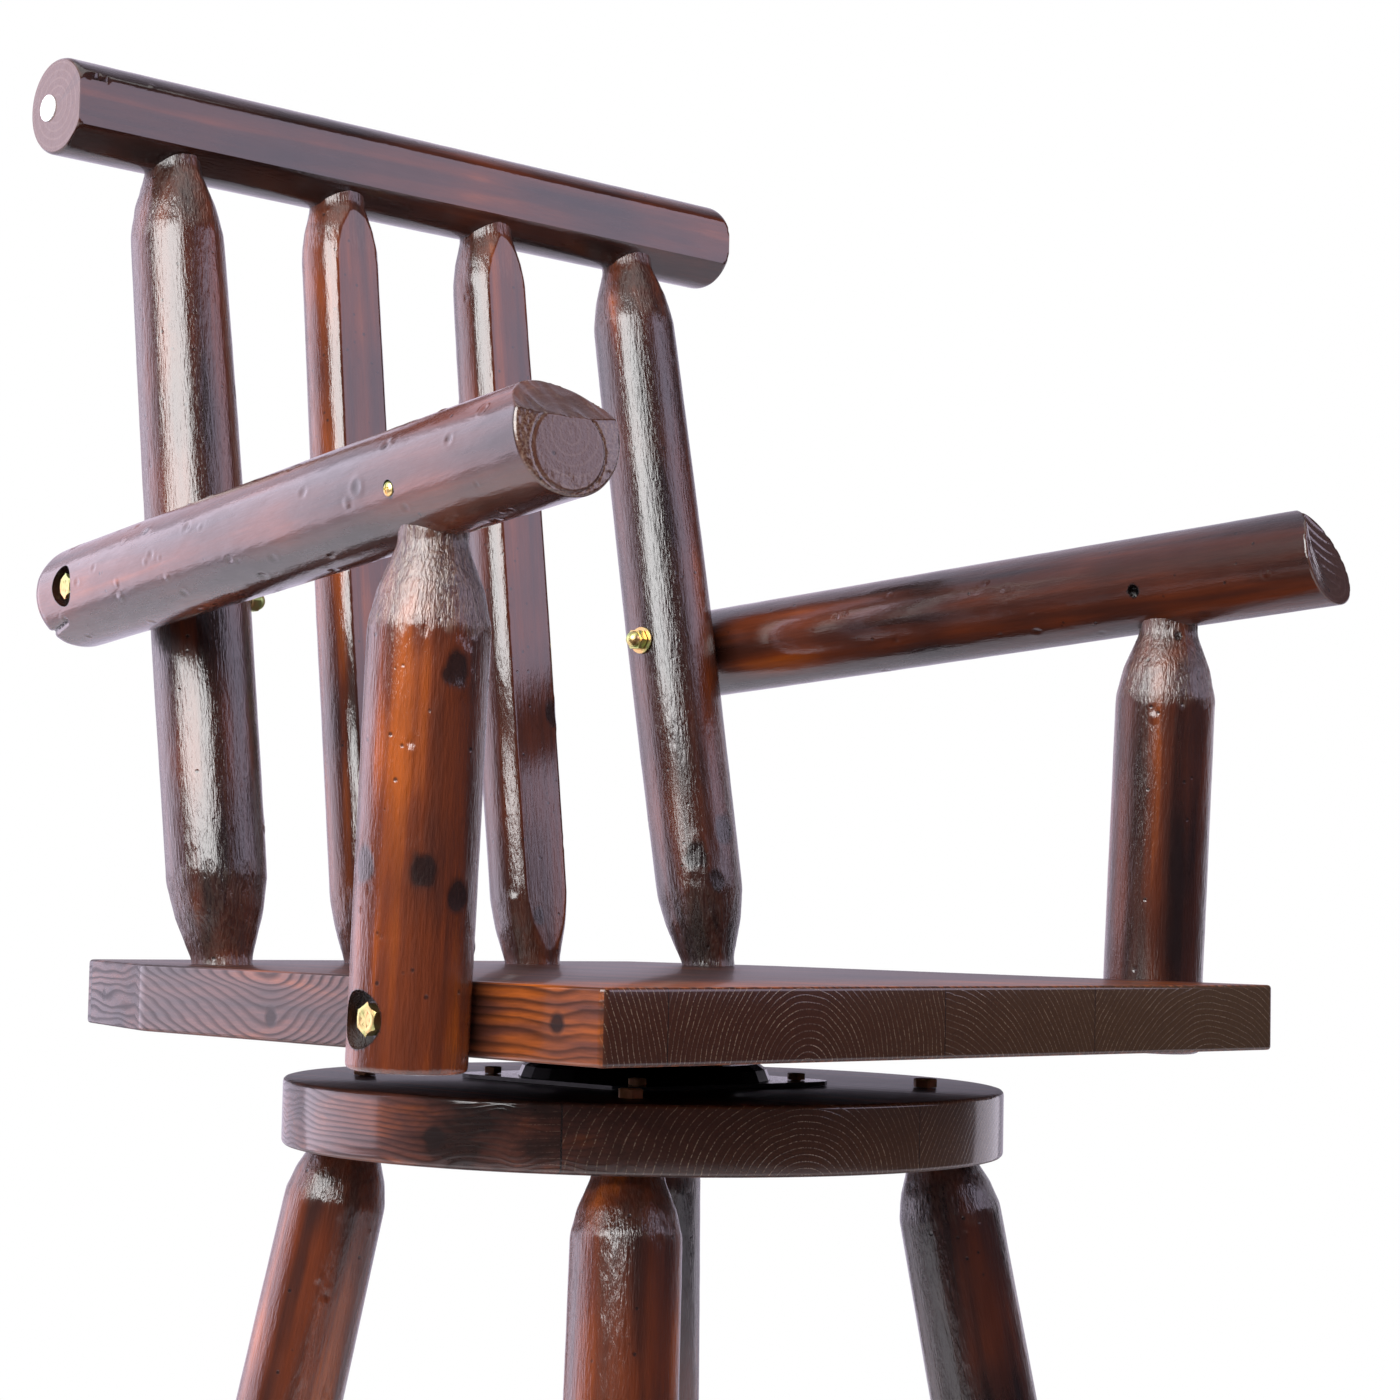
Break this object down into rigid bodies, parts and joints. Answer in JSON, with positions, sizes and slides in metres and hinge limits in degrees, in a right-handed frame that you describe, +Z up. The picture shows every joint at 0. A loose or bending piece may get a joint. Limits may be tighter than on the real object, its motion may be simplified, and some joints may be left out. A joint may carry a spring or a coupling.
{
  "type": "swivel bar stool with arms",
  "caption": "Rustic log bar stool with back and arms: a thick board seat turns on a ball-bearing plate above a round top with splayed, tenoned log legs.",
  "frame": {"origin": "on the floor, under the swivel axis, which is the centre of the object's box", "axes": "+Z up along the swivel axis, -Y towards the front of the seat, +X towards the viewer's right when looking at the front"},
  "size_m": [0.704, 0.58, 1.298],
  "materials": {
    "stained_log": "peeled fir log, dark stain, gloss varnish",
    "stained_board": "glued fir board, dark stain, gloss varnish",
    "black_steel": "black paint on pressed steel",
    "yellow_zinc": "yellow zinc plating",
    "white_plug": "matt white"
  },
  "bodies": {
    "base": {"ball_cage": "black_steel", "base_disc": "stained_board", "leg_back_left": "stained_log", "leg_back_right": "stained_log", "leg_bolt_back_left": "yellow_zinc", "leg_bolt_back_right": "yellow_zinc", "leg_bolt_front_left": "yellow_zinc", "leg_bolt_front_right": "yellow_zinc", "leg_front_left": "stained_log", "leg_front_right": "stained_log", "rung_back": "stained_log", "rung_front": "stained_log", "rung_left": "stained_log", "rung_right": "stained_log", "swivel_bolt_back_left": "yellow_zinc", "swivel_bolt_back_right": "yellow_zinc", "swivel_bolt_front_left": "yellow_zinc", "swivel_bolt_front_right": "yellow_zinc", "swivel_lower_plate": "black_steel", "swivel_rivet": "black_steel"},
    "seat": {"arm_bolt_left": "yellow_zinc", "arm_bolt_right": "yellow_zinc", "arm_bolt_washer_left": "yellow_zinc", "arm_bolt_washer_right": "yellow_zinc", "arm_cap_nut_left": "yellow_zinc", "arm_cap_nut_right": "yellow_zinc", "arm_left": "stained_log", "arm_post_left": "stained_log", "arm_post_right": "stained_log", "arm_post_screw_left": "yellow_zinc", "arm_post_screw_right": "yellow_zinc", "arm_right": "stained_log", "arm_screw_left": "yellow_zinc", "arm_screw_right": "black_steel", "back_post_left_inner": "stained_log", "back_post_left_outer": "stained_log", "back_post_right_inner": "stained_log", "back_post_right_outer": "stained_log", "rail_end_plug": "white_plug", "seat_board": "stained_board", "seat_screw_back_left": "black_steel", "seat_screw_back_right": "black_steel", "seat_screw_front_left": "black_steel", "seat_screw_front_right": "black_steel", "swivel_upper_plate": "black_steel", "top_rail": "stained_log"}
  },
  "joints": [
    {"name": "seat_swivel", "type": "hinge", "parent": "base", "child": "seat", "pos_m": [0, 0, 0.6763], "axis": [0, 0, 1], "continuous": true}
  ]
}
